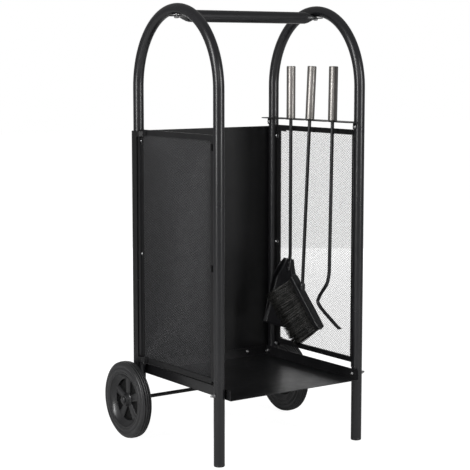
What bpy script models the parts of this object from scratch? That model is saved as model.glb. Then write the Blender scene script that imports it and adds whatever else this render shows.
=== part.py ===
"""Firewood log rack on two wheels, with a back panel, mesh sides, a log tray and three hearth tools.

Units are metres. +X is the rack's right, +Y its back (the wheel side), +Z up.
The origin is on the floor under the middle of the rack's outline.
"""
import math

import bmesh
import bpy
from mathutils import Matrix, Vector

# Driving dimensions
HEIGHT = 1.000            # floor to the top of the arches
LEG_X = 0.193             # arch planes, left and right of the middle
LEG_SPAN = 0.3236         # front leg axis to rear leg axis
TUBE_R = 0.0122           # side frame tube
TUBE_WALL = 0.0015
ARCH_RISE = 0.174         # tube axis, spring line to crown
WHEEL_R = 0.090
WHEEL_IN, WHEEL_OUT = 0.2140, 0.2420
TRAY_LIP = 0.0227         # tray ahead of the front leg axes
REAR_LEG_END = 0.072
CAP_T = 0.0040            # leg end cap below the tube
GAP = 0.0003              # between pieces that touch
SHEET = 0.0012
AXLE_R = 0.0045
BOLT_R = 0.0024
BOLT_HOLE_R = 0.0030
NUT_R, NUT_T = 0.0046, 0.0040
RIVET_R = 0.0016
RIVET_NUT_R = 0.0043
HUB_BOSS_OUT = 0.2395
RIM_R = 0.0660
WEB_T = 0.0105             # back face of the tyre to the front of the web behind the spokes
HEAD_PROFILE = [(-0.0028, 0), (-0.0028, 0.0025), (-0.0015, 0.0041), (0, 0.0046), (0, BOLT_R)]

# Derived positions
FRONT_Y = TRAY_LIP - (LEG_SPAN + TRAY_LIP + WHEEL_R) / 2
REAR_Y = FRONT_Y + LEG_SPAN
MID_Y = (FRONT_Y + REAR_Y) / 2
SPRING_Z = HEIGHT - TUBE_R - ARCH_RISE
CROWN_LOW_Z = HEIGHT - 2 * TUBE_R
AXLE_Z = WHEEL_R
LEG_FACE = TUBE_R + 0.0005     # leg axis to a sheet that lies against the tube

# Panels, tray and fastener heights
MESH_Z = (0.1797, 0.7186)
MESH_BAR = 0.0120
MESH_DEPTH = 0.0050
FLANGE_T = 0.0015
PANEL_Z = (0.1500, 0.7150)
PANEL_FLANGE_Z = 0.1680
SIDE_BOLT_Z = (0.178, 0.432, 0.692)
TRAY_Z = 0.1464
TRAY_TOP = 0.1698
TRAY_X = LEG_X - LEG_FACE
TRAY_BOLT_Z = 0.158
TRAY_BACK_X = 0.123
TRAY_BACK_Z = 0.160

# Handle bar
HANDLE_R = 0.0135
HANDLE_Z = 0.9724
TONGUE_TOP_Z = CROWN_LOW_Z - 0.0016
TONGUE_T = 0.0034

# Tools and their holder
HOLDER_Z = 0.7350
HOLDER_T = 0.0020
HOLDER_IN = 0.158
HOLDER_OUT = 0.199
HOLDER_Y = (FRONT_Y - 0.008, REAR_Y + 0.008)
HOLDER_TAB_HALF = 0.0055
HOLDER_TAB_DROP = 0.0145
HOLDER_SCREW_Z = HOLDER_Z - 0.0085
SLOT_W = 0.0106
TOOL_X = 0.176            # rods of the brush and the poker
SHOVEL_X = 0.180
SLOT_Y = (0.0420, -0.0360, -0.1205)      # shovel, brush, poker
GRIP_R = 0.0106
GRIP_Z = (HOLDER_Z + HOLDER_T + GAP, 0.8614)
ROD_R = 0.0041
BRUSH_LEAN = 0.048        # rod travel towards -X for each metre down
POKER_LEAN = (0.0446, 0.0343)

# Shovel pan, in its own plane: tilted inward from the rod
CRANK_Z = 0.404
PAN_TILT = 0.21
PAN_RUN = (0.0, 0.050, 0.165)        # heel, full shoulder, mouth
PAN_HALF = (0.0160, 0.0420, 0.0560)
PAN_WALL = (0.0160, 0.0160, 0.0070)
PAN_T = 0.0014
FLAT = 0.45               # rod thickness left where it is flattened
RIVET_S = (0.010, 0.024)

# Brush head: block slanting down and forward, bristles square to it
BRUSH_YAW = math.radians(7)
BRUSH_TILT = math.radians(39)
BRUSH_JOINT_Z = 0.3300
BLOCK_ABOVE, BLOCK_BELOW = 0.046, 0.103
BLOCK_WIDE = (-0.0070, 0.0145)     # the rod enters near the outer edge
BLOCK_DEEP = (-0.0060, 0.0060)
BRISTLE_ROOTS = (-0.0045, 0.0120)
BRISTLE_LENGTH = 0.070
TOP_SPREAD = (0.019, 0.038)          # bristle tips across the block, clear of the shovel pan
BOTTOM_SPREAD = (0.013, 0.033)

SIDES = (("left", -1), ("right", 1))
X_AXIS, Y_AXIS, Z_AXIS = Vector((1, 0, 0)), Vector((0, 1, 0)), Vector((0, 0, 1))


def clear_scene():
    for item in list(bpy.data.objects):
        bpy.data.objects.remove(item, do_unlink=True)


def material(name, colour, roughness, metallic=0.0):
    made = bpy.data.materials.get(name)
    if made is None:
        made = bpy.data.materials.new(name)
        made.use_nodes = True
        shader = made.node_tree.nodes["Principled BSDF"]
        shader.inputs["Base Color"].default_value = (*colour, 1)
        shader.inputs["Roughness"].default_value = roughness
        shader.inputs["Metallic"].default_value = metallic
    return made


def black_steel():
    return material("black_powder_coat", (0.02, 0.02, 0.022), 0.45)


def zinc_steel():
    return material("zinc_steel", (0.55, 0.55, 0.56), 0.35, 1.0)


def brushed_steel():
    return material("brushed_stainless", (0.62, 0.60, 0.57), 0.3, 1.0)


def black_plastic():
    return material("black_plastic", (0.025, 0.025, 0.027), 0.5)


def black_rubber():
    return material("black_rubber", (0.03, 0.03, 0.032), 0.7)


def bristle_fibre():
    return material("bristle_fibre", (0.02, 0.02, 0.02), 0.6)


def finish(name, bm, mat, origin=(0, 0, 0), smooth=True):
    """Turn a bmesh made in world coordinates into an object whose origin is at origin."""
    bmesh.ops.recalc_face_normals(bm, faces=bm.faces)
    bmesh.ops.translate(bm, verts=bm.verts, vec=-Vector(origin))
    mesh = bpy.data.meshes.new(name)
    bm.to_mesh(mesh)
    bm.free()
    mesh.materials.append(mat)
    if smooth:
        mesh.shade_smooth()
        mesh.set_sharp_from_angle(angle=math.radians(35))
    made = bpy.data.objects.new(name, mesh)
    made.location = origin
    bpy.context.collection.objects.link(made)
    return made


def combine(target, bm, operation="DIFFERENCE"):
    """Cut target with, or join it to, the closed bodies in bm."""
    bmesh.ops.recalc_face_normals(bm, faces=bm.faces)
    mesh = bpy.data.meshes.new("guide")
    bm.to_mesh(mesh)
    bm.free()
    guide = bpy.data.objects.new(target.name + "_guide", mesh)
    guide.hide_render = True
    guide.display_type = "WIRE"
    bpy.context.collection.objects.link(guide)
    boolean = target.modifiers.new(operation.lower(), "BOOLEAN")
    boolean.operation = operation
    boolean.object = guide


def across(axis):
    """Two unit vectors square to axis and to each other."""
    axis = Vector(axis).normalized()
    start = Z_AXIS if abs(axis.z) < 0.9 else X_AXIS
    first = axis.cross(start).normalized()
    return first, axis.cross(first).normalized()


def turn(bm, profile, base, axis, segments=12, closed=False):
    """Revolve (distance along axis, radius) points about the axis through base."""
    base, axis = Vector(base), Vector(axis).normalized()
    u, v = across(axis)
    rings = []
    for along, radius in profile:
        centre = base + axis * along
        if radius == 0:
            rings.append([bm.verts.new(centre)] * segments)
            continue
        ring = []
        for i in range(segments):
            angle = 2 * math.pi * i / segments
            ring.append(bm.verts.new(centre + radius * (u * math.cos(angle) + v * math.sin(angle))))
        rings.append(ring)
    pairs = list(zip(rings, rings[1:]))
    if closed:
        pairs.append((rings[-1], rings[0]))
    for low, high in pairs:
        for i in range(segments):
            j = (i + 1) % segments
            corners = []
            for vert in (low[i], low[j], high[j], high[i]):
                if vert not in corners:
                    corners.append(vert)
            if len(corners) > 2:
                bm.faces.new(corners)


def rod(bm, start, end, radius, segments=8):
    start, end = Vector(start), Vector(end)
    length = (end - start).length
    turn(bm, [(0, 0), (0, radius), (length, radius), (length, 0)], start, end - start, segments)


def ring_body(bm, base, axis, inner, outer, length, segments=12):
    turn(bm, [(0, inner), (0, outer), (length, outer), (length, inner)], base, axis, segments, closed=True)


def box(bm, low, high):
    low, high = Vector(low), Vector(high)
    size = high - low
    made = bmesh.ops.create_cube(bm, size=1.0)
    bmesh.ops.scale(bm, vec=size, verts=made["verts"])
    bmesh.ops.translate(bm, vec=(low + high) / 2, verts=made["verts"])


def loft(bm, sections):
    """Closed body through outlines whose corners match in order."""
    rings = [[bm.verts.new(p) for p in section] for section in sections]
    bm.faces.new(rings[0])
    bm.faces.new(rings[-1][::-1])
    for low, high in zip(rings, rings[1:]):
        for i in range(len(low)):
            j = (i + 1) % len(low)
            bm.faces.new((low[i], high[i], high[j], low[j]))


def extrude(bm, outline, low, high, place):
    """Extrude a 2-D outline; place(a, b, t) maps outline point and height to 3-D."""
    bottom = [bm.verts.new(place(a, b, low)) for a, b in outline]
    top = [bm.verts.new(place(a, b, high)) for a, b in outline]
    bm.faces.new(bottom)
    bm.faces.new(top[::-1])
    for i in range(len(outline)):
        j = (i + 1) % len(outline)
        bm.faces.new((bottom[i], top[i], top[j], bottom[j]))


def thicken(path, thickness):
    """Outline of a sheet of the given thickness whose middle follows an open 2-D path."""
    points = [Vector(p) for p in path]
    left, right = [], []
    for i, point in enumerate(points):
        before = (point - points[i - 1]).normalized() if i > 0 else None
        after = (points[i + 1] - point).normalized() if i < len(points) - 1 else None
        before = before or after
        after = after or before
        normal = (Vector((-before.y, before.x)) + Vector((-after.y, after.x))).normalized()
        reach = thickness / 2 / normal.dot(Vector((-after.y, after.x)))
        left.append(point + normal * reach)
        right.append(point - normal * reach)
    return [tuple(p) for p in left + right[::-1]]


def arc(centre, radius, start, stop, steps):
    """Points on a circle, angles in degrees, both ends included."""
    angles = [math.radians(start + (stop - start) * i / steps) for i in range(steps + 1)]
    return [(centre[0] + radius * math.cos(a), centre[1] + radius * math.sin(a)) for a in angles]


# ---------------------------------------------------------------- side frames

def arch_path():
    """(y, z, tangent y, tangent z) along the tube axis, front foot to rear leg end."""
    steps = 18
    half = LEG_SPAN / 2
    path = [(FRONT_Y, CAP_T + GAP, 0.0, 1.0)]
    for i in range(steps + 1):
        t = math.pi * i / steps
        ty, tz = half * math.sin(t), ARCH_RISE * math.cos(t)
        length = math.hypot(ty, tz)
        path.append((MID_Y - half * math.cos(t), SPRING_Z + ARCH_RISE * math.sin(t), ty / length, tz / length))
    path.append((REAR_Y, REAR_LEG_END + CAP_T + GAP, 0.0, -1.0))
    return path


def side_frame(side, sign):
    segments = 12
    bm = bmesh.new()
    path = arch_path()
    surfaces = []
    for radius in (TUBE_R, TUBE_R - TUBE_WALL):
        rings = []
        for y, z, ty, tz in path:
            normal = Vector((0, tz, -ty))
            centre = Vector((sign * LEG_X, y, z))
            ring = []
            for i in range(segments):
                angle = 2 * math.pi * (i + 0.5) / segments
                ring.append(bm.verts.new(centre + radius * (X_AXIS * math.cos(angle) + normal * math.sin(angle))))
            rings.append(ring)
        surfaces.append(rings)
        for low, high in zip(rings, rings[1:]):
            for i in range(segments):
                j = (i + 1) % segments
                bm.faces.new((low[i], low[j], high[j], high[i]))
    outer, inner = surfaces
    for end in (0, -1):
        for i in range(segments):
            j = (i + 1) % segments
            bm.faces.new((outer[end][i], outer[end][j], inner[end][j], inner[end][i]))
    frame = finish(f"side_frame_{side}", bm, black_steel())
    combine(frame, frame_holes(sign))


def frame_holes(sign):
    """Drillings for the panel bolts, tray bolts, axle, handle bar and tool holder."""
    bm = bmesh.new()
    x = sign * LEG_X
    past = TUBE_R + 0.004
    for z in SIDE_BOLT_Z:
        rod(bm, (x, REAR_Y - past, z), (x, REAR_Y + past, z), BOLT_HOLE_R)
        rod(bm, (x, FRONT_Y, z), (x, FRONT_Y + past, z), BOLT_HOLE_R)
    for y in (FRONT_Y, REAR_Y):
        rod(bm, (x - past, y, TRAY_BOLT_Z), (x + past, y, TRAY_BOLT_Z), BOLT_HOLE_R)
    rod(bm, (x - past, REAR_Y, AXLE_Z), (x + past, REAR_Y, AXLE_Z), AXLE_R + 0.0006, 12)
    rod(bm, (x, MID_Y, CROWN_LOW_Z - 0.004), (x, MID_Y, CROWN_LOW_Z + 0.008), RIVET_NUT_R + 0.0005)
    if sign > 0:
        for y in (FRONT_Y, REAR_Y):
            rod(bm, (x - past, y, HOLDER_SCREW_Z), (x, y, HOLDER_SCREW_Z), BOLT_HOLE_R)
    return bm


def leg_caps():
    """Moulded plugs that close the tube ends; the front pair are the feet."""
    plug = TUBE_R - TUBE_WALL - 0.0005
    for where, y, low in (("front", FRONT_Y, 0.0), ("rear", REAR_Y, REAR_LEG_END)):
        for side, sign in SIDES:
            bm = bmesh.new()
            profile = [(0, 0), (0, TUBE_R - 0.0018), (0.0006, TUBE_R - 0.0005), (0.0018, TUBE_R), (CAP_T, TUBE_R),
                       (CAP_T, plug), (CAP_T + (0.012 if where == "front" else 0.006), plug - 0.0004)]
            profile.append((profile[-1][0], 0))
            turn(bm, profile, (sign * LEG_X, y, low), Z_AXIS, 16)
            finish(f"leg_cap_{where}_{side}", bm, black_plastic())


# ---------------------------------------------------------------- handle bar

def handle_bar():
    """Round tube whose ends are pressed into flat tongues under the crowns."""
    segments = 16
    tongue_z = TONGUE_TOP_Z - TONGUE_T / 2
    # x, half width, half height, centre height, squareness exponent
    round_end = (HANDLE_R, HANDLE_R, HANDLE_Z, 1.0)
    stations = [(0.1560, *round_end),
                (0.1640, 0.0142, 0.0125, HANDLE_Z, 0.92),
                (0.1725, 0.0165, 0.0075, HANDLE_Z - 0.0002, 0.75),
                (0.1795, 0.0185, TONGUE_T / 2 + 0.0004, tongue_z, 0.55),
                (0.1830, 0.0188, TONGUE_T / 2, tongue_z, 0.5),
                (0.2030, 0.0170, TONGUE_T / 2, tongue_z, 0.5)]
    stations = [(-x, *rest) for x, *rest in reversed(stations)] + stations
    bm = bmesh.new()
    surfaces = []
    for wall in (0.0, 0.0015):
        rings = []
        for x, half_w, half_h, z, power in stations:
            ring = []
            for i in range(segments):
                angle = 2 * math.pi * i / segments
                c, s = math.cos(angle), math.sin(angle)
                y = MID_Y + (half_w - wall) * math.copysign(abs(c) ** power, c)
                ring.append(bm.verts.new((x, y, z + (half_h - wall) * math.copysign(abs(s) ** power, s))))
            rings.append(ring)
        surfaces.append(rings)
        for low, high in zip(rings, rings[1:]):
            for i in range(segments):
                j = (i + 1) % segments
                bm.faces.new((low[i], low[j], high[j], high[i]))
    outer, inner = surfaces
    for end in (0, -1):
        for i in range(segments):
            j = (i + 1) % segments
            bm.faces.new((outer[end][i], outer[end][j], inner[end][j], inner[end][i]))
    bar = finish("handle_bar", bm, black_steel())
    holes = bmesh.new()
    for _, sign in SIDES:
        rod(holes, (sign * LEG_X, MID_Y, tongue_z - 0.01), (sign * LEG_X, MID_Y, tongue_z + 0.01), 0.0036)
    combine(bar, holes)


def handle_fasteners():
    """A bolt from below and a threaded insert in each crown."""
    seat = TONGUE_TOP_Z - TONGUE_T - GAP
    for side, sign in SIDES:
        bolt, insert = bmesh.new(), bmesh.new()
        turn(bolt, [(-0.0036, 0), (-0.0036, 0.0034), (-0.0020, 0.0054), (0, 0.0056), (0, 0.0029),
                    (0.0150, 0.0029), (0.0150, 0)], (sign * LEG_X, MID_Y, seat), Z_AXIS, 10)
        ring_body(insert, (sign * LEG_X, MID_Y, CROWN_LOW_Z), Z_AXIS, 0.0033, RIVET_NUT_R, 0.0085, 10)
        finish(f"handle_bolt_{side}", bolt, zinc_steel())
        finish(f"handle_rivet_nut_{side}", insert, zinc_steel())


# ---------------------------------------------------------------- panels

def back_panel():
    """Folded sheet behind the rear legs; its edges wrap the legs and lap the mesh frames."""
    middle = LEG_FACE + SHEET / 2
    bend = 0.0070
    half = []
    for a, b in arc((middle - bend, middle - bend), bend, 90, 0, 4):
        half.append((LEG_X + a, REAR_Y + b))
    half.append((LEG_X + middle, REAR_Y - 0.0215))
    half.append((LEG_X + MESH_DEPTH + 0.0016, REAR_Y - 0.0290))
    half.append((LEG_X + MESH_DEPTH + 0.0016, REAR_Y - 0.0420))
    path = [(-x, y) for x, y in reversed(half)] + half
    bm = bmesh.new()
    extrude(bm, thicken(path, SHEET), PANEL_Z[0], PANEL_Z[1], lambda a, b, t: (a, b, t))
    panel = finish("back_panel", bm, black_steel())
    cuts = bmesh.new()
    ear = MESH_BAR
    for _, sign in SIDES:
        xs = sorted((sign * (LEG_X - 0.004), sign * (LEG_X + 0.03)))
        box(cuts, (xs[0], REAR_Y - 0.06, MESH_Z[0] + ear), (xs[1], REAR_Y - 0.0115, PANEL_Z[1] - ear))
        corner = [(-0.004, -0.06), (0.030, -0.06), (0.030, 0.03), (0.010, 0.03), (0.010, -0.02), (-0.004, -0.02)]
        extrude(cuts, [(sign * (LEG_X + dx), REAR_Y + dy) for dx, dy in corner], 0.1, PANEL_FLANGE_Z,
                lambda x, y, z: (x, y, z))
    combine(panel, cuts)
    holes = bmesh.new()
    for _, sign in SIDES:
        for z in SIDE_BOLT_Z:
            rod(holes, (sign * LEG_X, REAR_Y + 0.011, z), (sign * LEG_X, REAR_Y + 0.018, z), BOLT_HOLE_R)
        rod(holes, (sign * TRAY_BACK_X, REAR_Y + 0.011, TRAY_BACK_Z),
            (sign * TRAY_BACK_X, REAR_Y + 0.018, TRAY_BACK_Z), BOLT_HOLE_R)
    combine(panel, holes)


def mesh_frame(side, sign):
    """Shallow rectangular rim with a full-height flange against each leg."""
    low_y, high_y = FRONT_Y + LEG_FACE, REAR_Y - LEG_FACE
    inner, outer = sorted((sign * LEG_X, sign * (LEG_X + MESH_DEPTH)))
    bm = bmesh.new()
    box(bm, (inner, low_y, MESH_Z[0]), (outer, high_y, MESH_Z[1]))
    rim = finish(f"mesh_frame_{side}", bm, black_steel(), smooth=False)
    cuts = bmesh.new()
    past_in, past_out = inner - 0.01, outer + 0.01
    box(cuts, (past_in, low_y + MESH_BAR, MESH_Z[0] + MESH_BAR), (past_out, high_y - MESH_BAR, MESH_Z[1] - MESH_BAR))
    for z in SIDE_BOLT_Z:
        low_z, high_z = z - 0.0075, z + 0.0075
        window = (FLANGE_T, MESH_BAR - 0.003)
        box(cuts, (past_in, low_y + window[0], low_z), (past_out, low_y + window[1], high_z))
        box(cuts, (past_in, high_y - window[1], low_z), (past_out, high_y - window[0], high_z))
    combine(rim, cuts)
    flanges = bmesh.new()
    flange_x = sorted((sign * (LEG_X - 0.0060), sign * (LEG_X + MESH_DEPTH)))
    for start, stop in ((low_y, low_y + FLANGE_T), (high_y - FLANGE_T, high_y)):
        box(flanges, (flange_x[0], start, MESH_Z[0] - 0.0095), (flange_x[1], stop, MESH_Z[1]))
    combine(rim, flanges, "UNION")
    holes = bmesh.new()
    for z in SIDE_BOLT_Z:
        for y in (low_y + FLANGE_T / 2, high_y - FLANGE_T / 2):
            rod(holes, (sign * LEG_X, y - 0.002, z), (sign * LEG_X, y + 0.002, z), BOLT_HOLE_R)
    combine(rim, holes)


def mesh_sheet(side, sign):
    """Woven wire mesh as a thin slab inside the rim."""
    edge = MESH_BAR + GAP
    low_y, high_y = FRONT_Y + LEG_FACE + edge, REAR_Y - LEG_FACE - edge
    xs = sorted((sign * (LEG_X + 0.0018), sign * (LEG_X + 0.0032)))
    bm = bmesh.new()
    box(bm, (xs[0], low_y, MESH_Z[0] + edge), (xs[1], high_y, MESH_Z[1] - edge))
    finish(f"mesh_{side}", bm, black_steel(), smooth=False)


def screw(name, seat, axis, length):
    """Pan-head screw: seat is under the head, axis points from the head along the shank."""
    bm = bmesh.new()
    turn(bm, HEAD_PROFILE + [(length, BOLT_R), (length, 0)], seat, axis, 8)
    finish(name, bm, zinc_steel())


def bolt_and_nut(name, seat, axis, hold, tail):
    """Screw with its nut at the distance hold from the seat and the thread end beyond it."""
    bm = bmesh.new()
    turn(bm, HEAD_PROFILE + [(hold, BOLT_R), (hold, NUT_R), (hold + NUT_T, NUT_R), (hold + NUT_T, BOLT_R),
                             (hold + tail, BOLT_R), (hold + tail, 0)], seat, axis, 8)
    finish(name, bm, zinc_steel())


def side_bolts():
    """Bolts through the rear legs, mesh frames and back panel; screws into the front legs."""
    head = LEG_FACE + FLANGE_T + GAP
    hold = head + LEG_FACE + SHEET + GAP
    for side, sign in SIDES:
        for level, z in zip(("low", "middle", "high"), SIDE_BOLT_Z):
            bolt_and_nut(f"rear_leg_bolt_{side}_{level}", (sign * LEG_X, REAR_Y - head, z), Y_AXIS, hold, 0.0080)
            if level != "middle":
                screw(f"front_leg_screw_{side}_{level}", (sign * LEG_X, FRONT_Y + head, z), -Y_AXIS, head - 0.003)


# ---------------------------------------------------------------- tray

def tray():
    """Folded log tray between the legs: side and rear flanges, open at the front."""
    front, rear = FRONT_Y - TRAY_LIP, REAR_Y + LEG_FACE - GAP
    bm = bmesh.new()
    section = thicken([(-TRAY_X + SHEET / 2, TRAY_TOP), (-TRAY_X + SHEET / 2, TRAY_Z + SHEET / 2),
                       (TRAY_X - SHEET / 2, TRAY_Z + SHEET / 2), (TRAY_X - SHEET / 2, TRAY_TOP)], SHEET)
    extrude(bm, section, front, rear, lambda a, b, t: (a, t, b))
    made = finish("tray", bm, black_steel(), smooth=False)
    wall = bmesh.new()
    box(wall, (-TRAY_X + SHEET / 2, rear - SHEET, TRAY_Z + SHEET / 2), (TRAY_X - SHEET / 2, rear, TRAY_TOP))
    combine(made, wall, "UNION")
    holes = bmesh.new()
    for _, sign in SIDES:
        for y in (FRONT_Y, REAR_Y):
            rod(holes, (sign * (TRAY_X - 0.006), y, TRAY_BOLT_Z), (sign * (TRAY_X + 0.006), y, TRAY_BOLT_Z),
                BOLT_HOLE_R)
        rod(holes, (sign * TRAY_BACK_X, rear - 0.005, TRAY_BACK_Z), (sign * TRAY_BACK_X, rear + 0.005, TRAY_BACK_Z),
            BOLT_HOLE_R)
    combine(made, holes)


def tray_fasteners():
    """Front bolts have their nuts outside; the rear ones are turned round to clear the wheels."""
    inside = TRAY_X - SHEET - GAP
    outside = LEG_X + TUBE_R + GAP
    front = REAR_Y + LEG_FACE - SHEET - 2 * GAP
    hold = SHEET * 2 + 3 * GAP
    for side, sign in SIDES:
        out = X_AXIS * sign
        bolt_and_nut(f"tray_bolt_{side}_front", (sign * inside, FRONT_Y, TRAY_BOLT_Z), out, outside - inside, 0.0100)
        bolt_and_nut(f"tray_bolt_{side}_rear", (sign * outside, REAR_Y, TRAY_BOLT_Z), -out, outside - inside, 0.0080)
        bolt_and_nut(f"tray_back_bolt_{side}", (sign * TRAY_BACK_X, front, TRAY_BACK_Z), Y_AXIS, hold, 0.0070)


# ---------------------------------------------------------------- wheels

def axle():
    bm = bmesh.new()
    end = WHEEL_OUT + 0.0015
    rod(bm, (-end, REAR_Y, AXLE_Z), (end, REAR_Y, AXLE_Z), AXLE_R, 16)
    finish("axle", bm, zinc_steel())
    for side, sign in SIDES:
        out = X_AXIS * sign
        start = LEG_X + TUBE_R + GAP
        spacer, cap = bmesh.new(), bmesh.new()
        ring_body(spacer, (sign * start, REAR_Y, AXLE_Z), out, AXLE_R + GAP, 0.0080, WHEEL_IN - 0.0004 - start, 12)
        finish(f"axle_spacer_{side}", spacer, black_plastic())
        turn(cap, [(0, AXLE_R + GAP), (0, 0.0085), (0.0022, 0.0085), (0.0042, 0.0065), (0.0050, 0.0035),
                   (0.0050, 0), (0.0042, 0), (0.0042, AXLE_R + GAP)],
             (sign * (HUB_BOSS_OUT + 0.0005), REAR_Y, AXLE_Z), out, 12, closed=True)
        finish(f"axle_push_cap_{side}", cap, black_plastic())


def wheel_hub(side, sign):
    """Moulded centre: five spokes in front of a thin web, dished from the rim."""
    bm = bmesh.new()
    width = WHEEL_OUT - WHEEL_IN
    bore = AXLE_R + 0.0005
    profile = [(0.0, bore), (0.0, 0.0140), (0.0080, 0.0150), (0.0080, 0.0510), (0.0015, 0.0560), (0.0015, RIM_R),
               (width - 0.0015, RIM_R), (width - 0.0015, 0.0610), (width - 0.0060, 0.0530),
               (width - 0.0120, 0.0510), (width - 0.0120, 0.0150), (HUB_BOSS_OUT - WHEEL_IN, 0.0120),
               (HUB_BOSS_OUT - WHEEL_IN, bore)]
    turn(bm, profile, (sign * WHEEL_IN, REAR_Y, AXLE_Z), X_AXIS * sign, 30, closed=True)
    hub = finish(f"wheel_hub_{side}", bm, black_plastic(), origin=(sign * WHEEL_IN, REAR_Y, AXLE_Z))
    windows = bmesh.new()
    for spoke in range(5):
        middle = 90 + 72 * spoke + 36
        outline = arc((0, 0), 0.0490, middle - 26, middle + 26, 5) + arc((0, 0), 0.0190, middle + 12, middle - 12, 2)
        extrude(windows, outline, WHEEL_IN + WEB_T, WHEEL_OUT + 0.002,
                lambda a, b, t: (sign * t, REAR_Y + a, AXLE_Z + b))
    combine(hub, windows)


def tyre(side, sign):
    """Solid rubber tyre with rounded shoulders."""
    bm = bmesh.new()
    width = WHEEL_OUT - WHEEL_IN
    inner = RIM_R + GAP
    profile = [(0.0015, inner), (0.0, 0.0700), (0.0, 0.0790), (0.0030, 0.0865), (0.0080, WHEEL_R),
               (width - 0.0080, WHEEL_R), (width - 0.0030, 0.0865), (width, 0.0790), (width, 0.0700),
               (width - 0.0015, inner)]
    turn(bm, profile, (sign * WHEEL_IN, REAR_Y, AXLE_Z), X_AXIS * sign, 36, closed=True)
    finish(f"tyre_{side}", bm, black_rubber(), origin=(sign * WHEEL_IN, REAR_Y, AXLE_Z))


# ---------------------------------------------------------------- tool holder

def tool_holder():
    """Slotted plate between the right legs, with a tab bent down at each leg."""
    deep_front, deep_rear = FRONT_Y + 0.018, REAR_Y - 0.018
    edge = LEG_X - LEG_FACE
    front, rear = HOLDER_Y
    outline = [(HOLDER_IN + 0.006, front), (edge, front), (edge, deep_front), (HOLDER_OUT, deep_front + 0.004),
               (HOLDER_OUT, deep_rear - 0.004), (edge, deep_rear), (edge, rear), (HOLDER_IN + 0.006, rear),
               (HOLDER_IN, rear - 0.006)]
    for y in SLOT_Y:
        reach = SHOVEL_X + 0.0005
        outline.append((HOLDER_IN, y + SLOT_W / 2 + 0.0025))
        outline.append((HOLDER_IN + 0.0040, y + SLOT_W / 2))
        outline += arc((reach, y), SLOT_W / 2, 90, -90, 4)
        outline.append((HOLDER_IN + 0.0040, y - SLOT_W / 2))
        outline.append((HOLDER_IN, y - SLOT_W / 2 - 0.0025))
    outline.append((HOLDER_IN, front + 0.006))
    bm = bmesh.new()
    extrude(bm, outline, HOLDER_Z, HOLDER_Z + HOLDER_T, lambda a, b, t: (a, b, t))
    plate = finish("tool_holder", bm, black_steel(), smooth=False)
    tabs = bmesh.new()
    for y in (FRONT_Y, REAR_Y):
        low = (edge - FLANGE_T, y - HOLDER_TAB_HALF, HOLDER_Z - HOLDER_TAB_DROP)
        box(tabs, low, (edge, y + HOLDER_TAB_HALF, HOLDER_Z + HOLDER_T / 2))
    combine(plate, tabs, "UNION")
    holes = bmesh.new()
    for y in (FRONT_Y, REAR_Y):
        rod(holes, (edge - 0.005, y, HOLDER_SCREW_Z), (edge + 0.005, y, HOLDER_SCREW_Z), BOLT_HOLE_R)
    combine(plate, holes)


def tool_holder_screws():
    seat = LEG_X - LEG_FACE - FLANGE_T - GAP
    for where, y in (("front", FRONT_Y), ("rear", REAR_Y)):
        screw(f"tool_holder_screw_{where}", (seat, y, HOLDER_SCREW_Z), X_AXIS, 0.0105)


# ---------------------------------------------------------------- tools

def grip(name, x, y, lean=(0, 0)):
    """Drawn steel cup and the plug that holds the rod; returns the seat and the axis upward."""
    axis = Vector((*lean, 1)).normalized()
    seat = Vector((x, y, GRIP_Z[0] + math.hypot(*lean) * GRIP_R))
    length = GRIP_Z[1] - GRIP_Z[0]
    wall = 0.0010
    bm = bmesh.new()
    turn(bm, [(0, GRIP_R - wall), (0, GRIP_R), (length - 0.0012, GRIP_R), (length, GRIP_R - 0.0012), (length, 0),
              (length - wall, 0), (length - wall, GRIP_R - wall)], seat, axis, 20, closed=True)
    finish(f"{name}_handle", bm, brushed_steel())
    plug = bmesh.new()
    ring_body(plug, seat + axis * 0.0003, axis, ROD_R + GAP, GRIP_R - wall - GAP, 0.0180, 16)
    finish(f"{name}_plug", plug, zinc_steel())
    return seat, axis


def round_bar(bm, points, radius, segments=8, scales=None):
    """Bar along a list of points; scales gives (X scale, depth scale) at each point."""
    points = [Vector(p) for p in points]
    rings = []
    for i, point in enumerate(points):
        before = points[max(i - 1, 0)]
        after = points[min(i + 1, len(points) - 1)]
        along = (after - before).normalized()
        v = along.cross(X_AXIS).normalized()
        u = v.cross(along)
        wide, deep = scales[i] if scales else (1, 1)
        ring = []
        for k in range(segments):
            angle = 2 * math.pi * (k + 0.5) / segments
            ring.append(bm.verts.new(point + radius * (u * math.cos(angle) * wide + v * math.sin(angle) * deep)))
        rings.append(ring)
    for low, high in zip(rings, rings[1:]):
        for i in range(segments):
            j = (i + 1) % segments
            bm.faces.new((low[i], low[j], high[j], high[i]))
    bm.faces.new(rings[0])
    bm.faces.new(rings[-1][::-1])


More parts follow.
